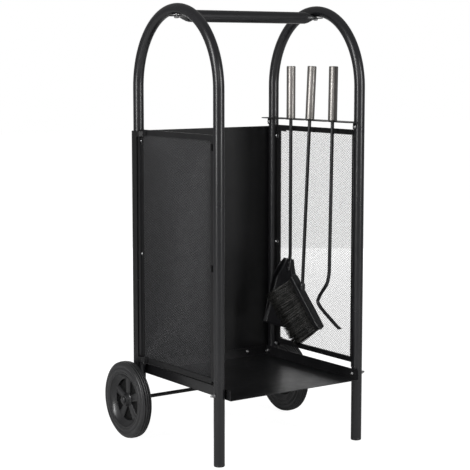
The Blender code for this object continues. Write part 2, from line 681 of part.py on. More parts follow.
def shovel():
    """The rod is cranked inward at its foot, flattened and riveted inside the heel of the pan."""
    seat, axis = grip("shovel", SHOVEL_X, SLOT_Y[0])
    crank = seat - axis * (seat.z - CRANK_Z)
    down = Vector((-PAN_TILT, 0, -1)).normalized()
    inward = Vector((-1, 0, PAN_TILT)).normalized()
    side = down.cross(inward)
    heel = crank + down * 0.006 - inward * (ROD_R * FLAT + GAP + PAN_T)

    def place(along, wide, high):
        return heel + down * along + side * wide + inward * high

    points = [seat + axis * 0.016, crank + axis * 0.016, crank + axis * 0.006, crank + down * 0.006,
              crank + down * (RIVET_S[1] + 0.012)]
    bm = bmesh.new()
    round_bar(bm, points, ROD_R, 8, [(1, 1), (1, 1), (0.9, 1.1), (FLAT, 1.6), (FLAT, 1.6)])
    shaft = finish("shovel_rod", bm, black_steel())

    def ring(along, half_w, low, high):
        return [place(along, half_w, low), place(along, -half_w, low), place(along, -half_w, high),
                place(along, half_w, high)]

    stations = list(zip(PAN_RUN, PAN_HALF, PAN_WALL))
    shell = bmesh.new()
    loft(shell, [ring(along, half, 0, wall) for along, half, wall in stations])
    pan = finish("shovel_pan", shell, black_steel(), smooth=False)
    hollow = bmesh.new()
    over = 0.02
    tip_spread = (PAN_HALF[-1] - PAN_HALF[-2]) / (PAN_RUN[-1] - PAN_RUN[-2])
    heel_spread = (PAN_HALF[1] - PAN_HALF[0]) / (PAN_RUN[1] - PAN_RUN[0])
    loft(hollow, [ring(PAN_RUN[0] - over, PAN_HALF[0] - heel_spread * over - PAN_T, PAN_T, 0.05),
                  ring(PAN_RUN[1], PAN_HALF[1] - PAN_T, PAN_T, 0.05),
                  ring(PAN_RUN[2] + over, PAN_HALF[2] + tip_spread * over - PAN_T, PAN_T, 0.05)])
    combine(pan, hollow)
    holes, rod_holes = bmesh.new(), bmesh.new()
    near, far = -GAP, PAN_T + 3 * GAP + 2 * ROD_R * FLAT
    for name, along in zip(("upper", "lower"), RIVET_S):
        rod(holes, place(along, 0, -0.003), place(along, 0, PAN_T + 0.0002), RIVET_R + GAP)
        rod(rod_holes, place(along, 0, PAN_T), place(along, 0, 0.009), RIVET_R + GAP)
        rivet = bmesh.new()
        turn(rivet, [(-0.0012, 0), (-0.0010, 0.0022), (0, 0.0034), (0, RIVET_R), (far, RIVET_R),
                     (far, 0.0034), (far + 0.0010, 0.0022), (far + 0.0014, 0)],
             place(along, 0, near), inward, 8)
        finish(f"shovel_rivet_{name}", rivet, black_steel())
    combine(pan, holes)
    combine(shaft, rod_holes)


def brush():
    """The rod leans inward; the block slants down and forward, its bristles down and back."""
    seat, axis = grip("brush", TOOL_X, SLOT_Y[1], (BRUSH_LEAN, 0))
    joint = seat - axis * ((seat.z - BRUSH_JOINT_Z) / axis.z)
    ahead = Vector((math.sin(BRUSH_YAW), -math.cos(BRUSH_YAW), 0))
    down = ahead * math.sin(BRUSH_TILT) - Z_AXIS * math.cos(BRUSH_TILT)
    back = -ahead * math.cos(BRUSH_TILT) - Z_AXIS * math.sin(BRUSH_TILT)
    side = back.cross(down)

    def place(along, wide, deep):
        return joint + down * along + side * wide + back * deep

    bm = bmesh.new()
    rod(bm, joint - axis * 0.002, seat + axis * 0.016, ROD_R)
    finish("brush_rod", bm, black_steel())

    top, bottom = -BLOCK_ABOVE, BLOCK_BELOW
    (right, left), (near, far) = BLOCK_WIDE, BLOCK_DEEP
    outline = arc((top + 0.007, right + 0.007), 0.007, 180, 270, 3)
    outline += arc((bottom - 0.006, right + 0.006), 0.006, 270, 360, 3)
    outline += arc((bottom - 0.006, left - 0.006), 0.006, 0, 90, 3)
    outline += arc((top + 0.007, left - 0.007), 0.007, 90, 180, 3)
    block = bmesh.new()
    extrude(block, outline, near, far, place)
    made = finish("brush_block", block, black_plastic(), smooth=False)
    neck = bmesh.new()
    turn(neck, [(0, 0), (0, 0.0066), (0.014, 0.0066), (0.020, 0.0058), (0.020, 0)], joint + axis * 0.0005, axis, 12)
    combine(made, neck, "UNION")
    bore = bmesh.new()
    rod(bore, joint - axis * 0.0026, joint + axis * 0.030, ROD_R + GAP)
    combine(made, bore)

    bristles = bmesh.new()
    roots, tips = far + GAP, far + BRISTLE_LENGTH
    low, high = BRISTLE_ROOTS
    loft(bristles, [[place(top + 0.010, low, roots), place(bottom - 0.006, low, roots),
                     place(bottom - 0.006, high, roots), place(top + 0.010, high, roots)],
                    [place(top + 0.006, TOP_SPREAD[0], tips), place(bottom - 0.006, BOTTOM_SPREAD[0], tips),
                     place(bottom - 0.006, BOTTOM_SPREAD[1], tips), place(top + 0.006, TOP_SPREAD[1], tips)]])
    finish("brush_bristles", bristles, bristle_fibre(), smooth=False)


def poker():
    """Round bar, cranked back and then forward to a flattened tip."""
    seat, axis = grip("poker", TOOL_X, SLOT_Y[2], POKER_LEAN)
    bends = [(0.0, 0.4050), (0.0010, 0.3830), (0.0073, 0.3612), (0.0230, 0.3420), (0.0360, 0.3247),
             (0.0395, 0.3131), (0.0250, 0.2997), (-0.0020, 0.2835), (-0.0280, 0.2689), (-0.0420, 0.2620)]
    points = [seat + axis * 0.016]
    for step, z in bends:
        drop = seat.z - max(z, 0.3)
        points.append((seat.x - POKER_LEAN[0] * drop, seat.y - POKER_LEAN[1] * drop + step, z))
    scales = [(1, 1)] * (len(points) - 2) + [(1.4, 0.7), (1.7, 0.25)]
    bm = bmesh.new()
    round_bar(bm, points, ROD_R, 8, scales)
    finish("poker_rod", bm, black_steel())


def build():
    clear_scene()
    for side, sign in SIDES:
        side_frame(side, sign)
        mesh_frame(side, sign)
        mesh_sheet(side, sign)
        wheel_hub(side, sign)
        tyre(side, sign)
    leg_caps()
    handle_bar()
    handle_fasteners()
    back_panel()
    side_bolts()
    tray()
    tray_fasteners()
    axle()
    tool_holder()
    tool_holder_screws()
    shovel()
    brush()
    poker()


build()
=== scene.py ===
"""Looks for the wheeled firewood rack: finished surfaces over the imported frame, a studio and a camera."""
import math
import random

import bmesh
import bpy
from mathutils import Matrix, Vector


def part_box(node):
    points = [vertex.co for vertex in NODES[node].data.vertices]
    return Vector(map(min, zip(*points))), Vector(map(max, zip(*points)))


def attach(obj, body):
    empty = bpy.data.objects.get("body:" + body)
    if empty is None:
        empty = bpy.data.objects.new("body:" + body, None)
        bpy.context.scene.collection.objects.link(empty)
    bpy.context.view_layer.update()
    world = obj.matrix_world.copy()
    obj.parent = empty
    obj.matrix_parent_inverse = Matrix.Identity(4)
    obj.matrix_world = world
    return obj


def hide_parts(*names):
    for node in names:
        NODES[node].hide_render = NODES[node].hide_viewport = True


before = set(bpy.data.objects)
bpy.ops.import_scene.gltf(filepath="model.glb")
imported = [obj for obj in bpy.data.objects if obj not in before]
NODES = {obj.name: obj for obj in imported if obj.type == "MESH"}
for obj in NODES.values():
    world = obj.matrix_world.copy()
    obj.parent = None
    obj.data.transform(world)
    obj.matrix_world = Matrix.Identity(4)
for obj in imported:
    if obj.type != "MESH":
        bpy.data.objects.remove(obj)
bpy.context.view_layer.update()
SIDES = (("left", -1), ("right", 1))
X, Y, Z = Vector((1, 0, 0)), Vector((0, 1, 0)), Vector((0, 0, 1))


def box(node):
    low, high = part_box(node)
    return Vector(low), Vector(high)


def middle(node):
    low, high = box(node)
    return (low + high) / 2


# Driving places, read from the frame
CAP_LOW, CAP_HIGH = box("leg_cap_front_left")
REAR_CAP_HIGH = box("leg_cap_rear_left")[1]
TUBE_R = (CAP_HIGH.x - CAP_LOW.x) / 2
LEG_X = middle("side_frame_right").x
FRONT_Y = middle("leg_cap_front_left").y
REAR_Y = middle("leg_cap_rear_left").y
MID_Y = (FRONT_Y + REAR_Y) / 2
CROWN_Z = box("side_frame_left")[1].z - TUBE_R * math.cos(math.radians(15))
ARCH_RISE = 0.174
CAP_T = 0.0043
GAP = 0.0003
AXLE = middle("axle")
WHEEL_IN = box("tyre_right")[0].x
WHEEL_OUT = box("tyre_right")[1].x
WHEEL_R = (box("tyre_right")[1].z - box("tyre_right")[0].z) / 2
RIM_R = 0.0660
SPOKES = 5
SPOKE_WIDTHS = ((0.0140, 0.0086), (0.0200, 0.0090), (0.0300, 0.0098), (0.0420, 0.0112), (0.0505, 0.0130))
SPOKE_SECTION = ((-1, 0.0096), (-0.9, 0.0140), (-0.7, 0.0154), (-0.35, 0.0160), (0.35, 0.0160),
                 (0.7, 0.0154), (0.9, 0.0140), (1, 0.0096))
TYRE_RIBS = 4
SHEET = 0.0012
MESH_FRAME_T = 0.0015
FACE = TUBE_R + 0.0005
PANEL_LOW, PANEL_HIGH = box("back_panel")
FLANGE_Z = 0.168
EAR_H = 0.012
MESH_LOW_Z = 0.1797
WIRE_PITCH = 0.0042
WIRE_R = 0.00039
SCREW_HEAD = 0.0028
THREAD_PITCH = 0.0008
HANDLE_BOLT_UP = 0.0150     # top of the bolt above the underside of the pressed handle end
TONGUE_Z = box("handle_bolt_left")[1].z - HANDLE_BOLT_UP + 0.0017 + GAP
GRIP_R = 0.0106
GRIP_WALL = 0.0010
GRIP_LENGTH = 0.1238
GRIP_SEAT = 0.0093          # grip's foot below the middle of its plug
GRIP_LEAN = {"shovel": (0, 0), "brush": (0.048, 0), "poker": (0.0446, 0.0343)}
ROD_R = 0.0041
ROD_IN_GRIP = 0.016
CRANK_Z = 0.404
PAN_TILT = 0.21
PAN_RUN = (0.0, 0.050, 0.165)
PAN_HALF = (0.0160, 0.0420, 0.0560)
PAN_WALL = (0.0160, 0.0160, 0.0070)
PAN_T = 0.0014
PAN_FOLD = 0.0060
BRUSH_JOINT_Z = 0.3300
BRUSH_YAW, BRUSH_TILT = math.radians(7), math.radians(39)
BLOCK_RUN = (0.046, 0.103)
BLOCK_WIDE = (-0.0070, 0.0145)
BLOCK_DEEP = (-0.0060, 0.0060)
ROOT_SPREAD = (-0.0040, 0.0115)
TOP_SPREAD = (0.019, 0.038)
BOTTOM_SPREAD = (0.013, 0.033)
BRISTLE_LENGTH = 0.070


# ---------------------------------------------------------------- materials

def shader_of(name, roughness, metallic=0.0):
    mat = bpy.data.materials.new(name)
    mat.use_nodes = True
    shader = mat.node_tree.nodes["Principled BSDF"]
    shader.inputs["Roughness"].default_value = roughness
    shader.inputs["Metallic"].default_value = metallic
    return mat, mat.node_tree, shader


def noise(tree, scale, detail=3.0, stretch=(1, 1, 1)):
    """Noise in object coordinates, scale in cycles per metre."""
    coords = tree.nodes.new("ShaderNodeTexCoord")
    mapping = tree.nodes.new("ShaderNodeMapping")
    mapping.inputs["Scale"].default_value = stretch
    texture = tree.nodes.new("ShaderNodeTexNoise")
    texture.inputs["Scale"].default_value = scale
    texture.inputs["Detail"].default_value = detail
    tree.links.new(coords.outputs["Object"], mapping.inputs["Vector"])
    tree.links.new(mapping.outputs["Vector"], texture.inputs["Vector"])
    return texture.outputs["Fac"]


def spread(tree, value, low, high):
    ranged = tree.nodes.new("ShaderNodeMapRange")
    ranged.inputs["From Min"].default_value = 0.3
    ranged.inputs["From Max"].default_value = 0.7
    ranged.inputs["To Min"].default_value = low
    ranged.inputs["To Max"].default_value = high
    tree.links.new(value, ranged.inputs["Value"])
    return ranged.outputs["Result"]


def tint(tree, value, dark, light):
    mix = tree.nodes.new("ShaderNodeMix")
    mix.data_type = "RGBA"
    mix.inputs["A"].default_value = (*dark, 1)
    mix.inputs["B"].default_value = (*light, 1)
    tree.links.new(spread(tree, value, 0, 1), mix.inputs["Factor"])
    return mix.outputs["Result"]


def bump(tree, shader, value, strength, distance):
    node = tree.nodes.new("ShaderNodeBump")
    node.inputs["Strength"].default_value = strength
    node.inputs["Distance"].default_value = distance
    tree.links.new(value, node.inputs["Height"])
    tree.links.new(node.outputs["Normal"], shader.inputs["Normal"])


def surface(name, dark, light, rough, metallic=0.0, grain=900, grain_depth=0.0002, patch=14,
            stretch=(1, 1, 1), strength=0.25, shine=0.5):
    """Fine bump, slow colour drift and roughness that varies between rough[0] and rough[1]."""
    mat, tree, shader = shader_of(name, rough[0], metallic)
    shader.inputs["Specular IOR Level"].default_value = shine
    tree.links.new(tint(tree, noise(tree, patch), dark, light), shader.inputs["Base Color"])
    tree.links.new(spread(tree, noise(tree, patch * 3, 5.0, stretch), *rough), shader.inputs["Roughness"])
    if strength:
        bump(tree, shader, noise(tree, grain, 2.0, stretch), strength, grain_depth)
    return mat


COAT = surface("black_powder_coat", (0.0080, 0.0080, 0.0092), (0.0110, 0.0110, 0.0125), (0.27, 0.31),
               grain=1400, grain_depth=0.0001, strength=0.03)
PANEL_COAT = surface("black_panel_coat", (0.0080, 0.0080, 0.0088), (0.0110, 0.0110, 0.0120), (0.30, 0.38),
                     grain=1600, grain_depth=0.0001, strength=0.05)
# Darker, less shiny copy of the black coat for the back panel: painted shade inside the rack.
SHADED_BACK_COAT = surface("black_back_coat_painted_shade", (0.0040, 0.0040, 0.0045), (0.0060, 0.0060, 0.0066), (0.38, 0.46),
                    grain=1600, grain_depth=0.0001, strength=0.05, shine=0.32)
# Darker, less shiny copy of the black coat for the mesh frames and tool holder: painted shade.
SHADED_FRAME_COAT = surface("black_frame_coat_painted_shade", (0.0050, 0.0050, 0.0056), (0.0075, 0.0075, 0.0082), (0.45, 0.55),
                     grain=1500, grain_depth=0.0001, strength=0.10, shine=0.35)
# Black wire with a lighter grey base: painted sheen for the light the thin wires catch.
WIRE_WITH_SHEEN = surface("black_wire_painted_sheen", (0.060, 0.060, 0.064), (0.085, 0.085, 0.090), (0.38, 0.5), grain=2500, patch=60)
STEEL = surface("brushed_stainless", (0.25, 0.238, 0.225), (0.31, 0.296, 0.280), (0.36, 0.40), 1.0,
                patch=20, stretch=(60, 60, 0.4), strength=0)
ZINC = surface("zinc_steel", (0.22, 0.22, 0.23), (0.36, 0.36, 0.36), (0.26, 0.42), 1.0,
               grain=2200, grain_depth=0.0001, patch=90)
PLASTIC = surface("black_plastic", (0.010, 0.010, 0.011), (0.016, 0.016, 0.017), (0.26, 0.38),
                  grain=1800, grain_depth=0.0001, strength=0.10)
# Near-black plastic for the wheel web behind the spokes: painted shade in the hub recess.
PAINTED_SHADE_PLASTIC = surface("painted_shade_plastic", (0.003, 0.003, 0.003), (0.005, 0.005, 0.005), (0.6, 0.7),
                        grain=1800, shine=0.2)
RUBBER = surface("black_rubber", (0.014, 0.014, 0.015), (0.022, 0.022, 0.023), (0.34, 0.48),
                 grain=1300, grain_depth=0.0003, patch=30)
FIBRE = surface("bristle_fibre", (0.006, 0.006, 0.006), (0.05, 0.05, 0.048), (0.30, 0.48),
                patch=420, strength=0)


def strand_tone_and_sheen(mat):
    """Each strand gets its own grey at random; the lighter strands are painted sheen, standing in for light
    streaks on the bristles.
    """
    tree = mat.node_tree
    shader = tree.nodes["Principled BSDF"]
    island = tree.nodes.new("ShaderNodeNewGeometry")
    ramp = tree.nodes.new("ShaderNodeValToRGB")
    ramp.color_ramp.elements[0].position, ramp.color_ramp.elements[0].color = 0.55, (0.006, 0.006, 0.006, 1)
    ramp.color_ramp.elements[1].position, ramp.color_ramp.elements[1].color = 1.0, (0.11, 0.108, 0.10, 1)
    tree.links.new(island.outputs["Random Per Island"], ramp.inputs["Fac"])
    tree.links.new(ramp.outputs["Color"], shader.inputs["Base Color"])


strand_tone_and_sheen(FIBRE)


# ---------------------------------------------------------------- mesh tools

def piece(name, bm, mat, body, nodes=(), smooth=35, bevel=0.0, bevel_steps=2):
    """Finish a bmesh made in frame coordinates as a piece that rides on a body and stands for nodes."""
    bmesh.ops.recalc_face_normals(bm, faces=bm.faces)
    mesh = bpy.data.meshes.new(name)
    bm.to_mesh(mesh)
    bm.free()
    mesh.materials.append(mat)
    mesh.shade_smooth()
    mesh.set_sharp_from_angle(angle=math.radians(smooth))
    made = bpy.data.objects.new(name, mesh)
    bpy.context.scene.collection.objects.link(made)
    if bevel:
        edge = made.modifiers.new("edge", "BEVEL")
        edge.width = bevel
        edge.segments = bevel_steps
        edge.limit_method = "ANGLE"
        edge.angle_limit = math.radians(40)
        edge.harden_normals = True
    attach(made, body)
    if nodes:
        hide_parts(*nodes)
    return made


def square_to(axis):
    axis = Vector(axis).normalized()
    start = Z if abs(axis.z) < 0.9 else X
    first = axis.cross(start).normalized()
    return first, axis.cross(first).normalized()


def turn(bm, profile, base, axis, segments=48, closed=False):
    """Revolve (distance along axis, radius) points about the axis through base."""
    base, axis = Vector(base), Vector(axis).normalized()
    u, v = square_to(axis)
    rings = []
    for along, radius in profile:
        centre = base + axis * along
        if radius == 0:
            rings.append([bm.verts.new(centre)] * segments)
            continue
        angles = [2 * math.pi * i / segments for i in range(segments)]
        rings.append([bm.verts.new(centre + radius * (u * math.cos(a) + v * math.sin(a))) for a in angles])
    pairs = list(zip(rings, rings[1:]))
    if closed:
        pairs.append((rings[-1], rings[0]))
    for low, high in pairs:
        for i in range(segments):
            j = (i + 1) % segments
            corners = list(dict.fromkeys((low[i], low[j], high[j], high[i])))
            if len(corners) > 2:
                bm.faces.new(corners)


def tube(bm, points, radius, segments=24, scales=None, across=X):
    """Round bar along points; scales gives (across, other way) for each point."""
    points = [Vector(p) for p in points]
    rings = []
    for i, point in enumerate(points):
        along = (points[min(i + 1, len(points) - 1)] - points[max(i - 1, 0)]).normalized()
        v = along.cross(across).normalized()
        u = v.cross(along)
        wide, deep = scales[i] if scales else (1, 1)
        angles = [2 * math.pi * k / segments for k in range(segments)]
        rings.append([bm.verts.new(point + radius * (u * math.cos(a) * wide + v * math.sin(a) * deep))
                      for a in angles])
    skin(bm, rings)


def skin(bm, rings, ends=True):
    for low, high in zip(rings, rings[1:]):
        for i in range(len(low)):
            j = (i + 1) % len(low)
            bm.faces.new((low[i], low[j], high[j], high[i]))
    if ends:
        bm.faces.new(rings[0])
        bm.faces.new(rings[-1][::-1])


def extrude(bm, outline, low, high, place):
    skin(bm, [[bm.verts.new(place(a, b, t)) for a, b in outline] for t in (low, high)])


def slab(bm, low, high):
    extrude(bm, [(low[0], low[1]), (high[0], low[1]), (high[0], high[1]), (low[0], high[1])], low[2], high[2],
            lambda a, b, t: (a, b, t))


def arc(centre, radius, start, stop, steps):
    angles = [math.radians(start + (stop - start) * i / steps) for i in range(steps + 1)]
    return [(centre[0] + radius * math.cos(a), centre[1] + radius * math.sin(a)) for a in angles]


def thicken(path, thickness):
    """Outline of a sheet whose middle follows an open 2-D path."""
    points = [Vector(p) for p in path]
    left, right = [], []
    for i, point in enumerate(points):
        before = (point - points[i - 1]).normalized() if i else None
        after = (points[i + 1] - point).normalized() if i < len(points) - 1 else None
        before, after = before or after, after or before
        normal = (Vector((-before.y, before.x)) + Vector((-after.y, after.x))).normalized()
        reach = thickness / 2 / normal.dot(Vector((-after.y, after.x)))
        left.append(tuple(point + normal * reach))
        right.append(tuple(point - normal * reach))
    return left + right[::-1]


def fillet(path, radius, steps=5):
    """The open path with each inner corner rounded."""
    points = [Vector(p) for p in path]
    out = [tuple(points[0])]
    for before, corner, after in zip(points, points[1:], points[2:]):
        to_before, to_after = (before - corner).normalized(), (after - corner).normalized()
        turn_angle = math.pi - to_before.angle(to_after)
        cut = radius * math.tan(turn_angle / 2)
        start, stop = corner + to_before * cut, corner + to_after * cut
        for i in range(steps + 1):
            t = i / steps
            out.append(tuple(start * (1 - t) ** 2 + corner * 2 * t * (1 - t) + stop * t ** 2))
    out.append(tuple(points[-1]))
    return out


def smooth_line(points, steps=6):
    """Catmull-Rom curve through the points."""
    points = [Vector(p) for p in points]
    ends = [points[0] * 2 - points[1], *points, points[-1] * 2 - points[-2]]
    out = []
    for a, b, c, d in zip(ends, ends[1:], ends[2:], ends[3:]):
        for i in range(steps):
            t = i / steps
            out.append(0.5 * (2 * b + (c - a) * t + (2 * a - 5 * b + 4 * c - d) * t * t
                              + (3 * b - a - 3 * c + d) * t ** 3))
    return out + [points[-1]]


def dress(names, mat, bevel=0.0):
    """Give CAD nodes a finished material and, where asked, softened edges."""
    for name in names:
        node = NODES[name]
        for place in node.material_slots:
            place.link = "OBJECT"
            place.material = mat
        if bevel:
            edge = node.modifiers.new("edge", "BEVEL")
            edge.width = bevel
            edge.segments = 2
            edge.limit_method = "ANGLE"
            edge.angle_limit = math.radians(40)


# ---------------------------------------------------------------- frame

def side_frame(side, sign):
    half = (REAR_Y - FRONT_Y) / 2
    spring = CROWN_Z - ARCH_RISE
    x = sign * LEG_X
    points = [(x, FRONT_Y, CAP_T)] + [(x, FRONT_Y, spring * t / 6) for t in range(1, 6)]
    steps = 60
    for i in range(steps + 1):
        t = math.pi * i / steps
        points.append((x, MID_Y - half * math.cos(t), spring + ARCH_RISE * math.sin(t)))
    low = REAR_CAP_HIGH.z - 0.006
    points += [(x, REAR_Y, spring + (low - spring) * t / 6) for t in range(1, 7)]
    bm = bmesh.new()
    tube(bm, points, TUBE_R, 40)
    piece(f"bent_tube_{side}", bm, COAT, "cart", [f"side_frame_{side}"])


def leg_caps():
    for where, node in (("front", "leg_cap_front"), ("rear", "leg_cap_rear")):
        for side, sign in SIDES:
            low, high = box(f"{node}_{side}")
            bm = bmesh.new()
            turn(bm, [(0, 0), (0, TUBE_R * 0.82), (0.0004, TUBE_R * 0.92), (0.0012, TUBE_R * 0.985),
                      (0.0022, TUBE_R), (CAP_T - 0.0004, TUBE_R), (CAP_T, TUBE_R * 0.98), (CAP_T, 0)],
                 (sign * LEG_X, (low.y + high.y) / 2, low.z), Z, 40)
            piece(f"end_cap_{where}_{side}", bm, PLASTIC, "cart", [f"{node}_{side}"])


def handle_bar():
    """Round tube pressed flat where it meets each crown."""
    low, high = box("handle_bar")
    end = high.x
    radius = (high.z - low.z) / 2
    centre = (high.z + low.z) / 2
    tongue = TONGUE_Z
    # x, half width, half height, centre height, squareness
    stations = [(0.1540, radius, radius, centre, 1.0),
                (0.1600, radius * 1.01, radius * 0.99, centre, 0.98),
                (0.1660, 0.0145, 0.0118, centre - 0.0001, 0.9),
                (0.1715, 0.0160, 0.0086, centre - 0.0002, 0.8),
                (0.1765, 0.0176, 0.0046, (centre + tongue) / 2, 0.66),
                (0.1805, 0.0186, 0.0020, tongue, 0.56),
                (0.1850, 0.0187, 0.0017, tongue, 0.5),
                (0.1960, 0.0180, 0.0017, tongue, 0.5),
                (end - 0.0012, 0.0168, 0.0016, tongue, 0.5),
                (end, 0.0150, 0.0012, tongue, 0.5)]
    right = smooth_stations(stations)
    every = [(-x, *rest) for x, *rest in reversed(right)] + right
    bm = bmesh.new()
    rings = []
    for x, half_w, half_h, z, power in every:
        ring = []
        for i in range(48):
            a = 2 * math.pi * i / 48
            c, s = math.cos(a), math.sin(a)
            ring.append(bm.verts.new((x, MID_Y + half_w * math.copysign(abs(c) ** power, c),
                                      z + half_h * math.copysign(abs(s) ** power, s))))
        rings.append(ring)
    skin(bm, rings)
    piece("pressed_handle", bm, COAT, "cart", ["handle_bar"])


def smooth_stations(stations, steps=4):
    out = []
    for i in range(len(stations) - 1):
        for k in range(steps):
            t = k / steps
            out.append(tuple(a + (b - a) * t for a, b in zip(stations[i], stations[i + 1])))
    return out + [stations[-1]]


# ---------------------------------------------------------------- panels

def back_panel():
    """Folded sheet whose edges wrap the rear legs, with an ear at each end of each mesh frame."""
    middle_off = FACE + SHEET / 2
    bend = 0.0070
    bm = bmesh.new()

    def wrap(forward):
        half = [(LEG_X + a, REAR_Y + b) for a, b in arc((middle_off - bend,) * 2, bend, 90, 0, 10)]
        return half + [(LEG_X + middle_off, REAR_Y - forward)]

    def both(half):
        return [(-x, y) for x, y in reversed(half)] + half

    z0, z1 = PANEL_LOW.z, PANEL_HIGH.z
    extrude(bm, thicken(both(wrap(0.0115)), SHEET), FLANGE_Z, z1, lambda a, b, t: (a, b, t))
    low_half = [(LEG_X + 0.0100, REAR_Y + middle_off)]
    extrude(bm, thicken(both(low_half), SHEET), z0, FLANGE_Z, lambda a, b, t: (a, b, t))
    lap = LEG_X + 0.005 + 0.0016
    path = fillet([(LEG_X + middle_off, REAR_Y - 0.0105), (LEG_X + middle_off, REAR_Y - 0.0215),
                   (lap, REAR_Y - 0.0290), (lap, REAR_Y - 0.0420)], 0.004)
    for _, sign in SIDES:
        outline = [(sign * a, b) for a, b in thicken(path, SHEET)]
        for low in (MESH_LOW_Z, z1 - EAR_H):
            extrude(bm, outline, low, low + EAR_H, lambda a, b, t: (a, b, t))
    # The back panel wears the darkened coat copy: painted shade.
    piece("folded_back_panel", bm, SHADED_BACK_COAT, "cart", ["back_panel"], bevel=0.0003)


def mesh_panel(side, sign):
    """Fine diagonal wire mesh: two sets of straight wires that lie on each other."""
    low, high = box(f"mesh_{side}")
    pitch, wire = WIRE_PITCH, WIRE_R
    y0, y1, z0, z1 = low.y - 0.002, high.y + 0.002, low.z - 0.002, high.z + 0.002
    x = (low.x + high.x) / 2
    bm = bmesh.new()
    for lay, slope in ((-1, 1), (1, -1)):
        plane_x = x + lay * wire
        step = pitch * math.sqrt(2)
        start = y0 - (z1 - z0) if slope > 0 else y0
        stop = y1 if slope > 0 else y1 + (z1 - z0)
        count = int((stop - start) / step)
        for i in range(count + 1):
            y_at = start + i * step
            ends = clip_line(y_at, slope, y0, y1, z0, z1)
            if ends:
                wire_between(bm, plane_x, ends, wire, slope)
    piece(f"wire_mesh_{side}", bm, WIRE_WITH_SHEEN, "cart", [f"mesh_{side}"], smooth=180)


def clip_line(y_at, slope, y0, y1, z0, z1):
    """Part of the diagonal through (y_at, z0) that lies inside the rectangle."""
    t_low = max(0.0, (y0 - y_at) / slope if slope > 0 else (y_at - y1))
    t_high = min(z1 - z0, (y1 - y_at) / slope if slope > 0 else (y_at - y0))
    if t_high - t_low < 0.002:
        return None
    return [(y_at + slope * t, z0 + t) for t in (t_low, t_high)]


def wire_between(bm, x, ends, radius, slope):
    (ya, za), (yb, zb) = ends
    side = radius / math.sqrt(2)
    rings = []
    for y, z in ((ya, za), (yb, zb)):
        rings.append([bm.verts.new(p) for p in ((x - radius, y, z), (x, y - side * slope, z + side),
                                                (x + radius, y, z), (x, y + side * slope, z - side))])
    skin(bm, rings)


# ---------------------------------------------------------------- tray

def tray():
    low, high = box("tray")
    inner = SHEET / 2
    bend = 0.0022
    path = fillet([(low.x + inner, high.z), (low.x + inner, low.z + inner), (high.x - inner, low.z + inner),
                   (high.x - inner, high.z)], bend)
    bm = bmesh.new()
    extrude(bm, thicken(path, SHEET), low.y, high.y - 0.0002, lambda a, b, t: (a, t, b))
    rear = fillet([(high.y - inner, high.z), (high.y - inner, low.z + inner),
                   (high.y - 0.02, low.z + inner)], bend)
    extrude(bm, thicken(rear, SHEET * 0.98), low.x + 0.0016, high.x - 0.0016, lambda a, b, t: (t, a, b))
    piece("folded_tray", bm, PANEL_COAT, "cart", ["tray"], bevel=0.0003)


# ---------------------------------------------------------------- fasteners

def fastener(node, axis, head_first, nut_at=None):
    """Pan head with a cross recess ring, threaded shank and, where given, a flanged hex nut."""
    low, high = box(node)
    centre = (low + high) / 2
    along = Vector(axis)
    reach = abs((high - low).dot(along))
    start = centre - along * reach / 2 if head_first else centre + along * reach / 2
    away = along if head_first else -along
    dome = 0.0046
    bm = bmesh.new()
    turn(bm, [(0.0006, 0), (0.0006, 0.0010), (0.0, 0.0014), (0.0001, 0.0022), (0.0006, 0.0034),
              (0.0015, dome * 0.9), (0.0025, dome), (SCREW_HEAD, dome), (SCREW_HEAD, 0.0024)], start, away, 24)
    thread = [(SCREW_HEAD, 0.0024)]
    for i in range(int((reach - SCREW_HEAD - 0.0006) / THREAD_PITCH)):
        at = SCREW_HEAD + THREAD_PITCH * i
        thread += [(at + 0.25 * THREAD_PITCH, 0.0024), (at + 0.75 * THREAD_PITCH, 0.0021)]
    turn(bm, thread + [(reach - 0.0004, 0.0021), (reach, 0.0016), (reach, 0)], start, away, 16)
    if nut_at is not None:
        base = start + away * nut_at
        turn(bm, [(0, 0.0024), (0, 0.0046), (0.0006, 0.0046), (0.0006, 0.0024)], base, away, 24)
        turn(bm, [(0.0006, 0.0024), (0.0006, 0.0040), (0.0010, 0.0044), (0.0036, 0.0044), (0.0040, 0.0040),
                  (0.0040, 0.0024)], base, away, 6)
    piece(f"{node}_finished", bm, ZINC, "cart", [node], smooth=30)


def fasteners():
    hold = 2 * FACE + SHEET + MESH_FRAME_T + 2 * GAP + SCREW_HEAD
    through = TUBE_R + FACE + SHEET + 2 * GAP + SCREW_HEAD
    for side, sign in SIDES:
        for level in ("low", "middle", "high"):
            fastener(f"rear_leg_bolt_{side}_{level}", Y, True, hold)
        for level in ("low", "high"):
            fastener(f"front_leg_screw_{side}_{level}", Y, False)
        fastener(f"tray_bolt_{side}_front", X, sign > 0, through)
        fastener(f"tray_bolt_{side}_rear", X, sign < 0, through)
        fastener(f"tray_back_bolt_{side}", Y, True, 2 * SHEET + 3 * GAP + SCREW_HEAD)
        bolt = f"handle_bolt_{side}"
        low, high = box(bolt)
        bm = bmesh.new()
        turn(bm, [(0, 0), (0, 0.0030), (0.0004, 0.0044), (0.0016, 0.0054), (0.0036, 0.0056), (0.0036, 0.0029),
                  (high.z - low.z, 0.0029), (high.z - low.z, 0)], (sign * LEG_X, MID_Y, low.z), Z, 32)
        piece(f"handle_screw_{side}", bm, ZINC, "cart", [bolt])
    for where in ("front", "rear"):
        fastener(f"tool_holder_screw_{where}", X, True)


# ---------------------------------------------------------------- wheels

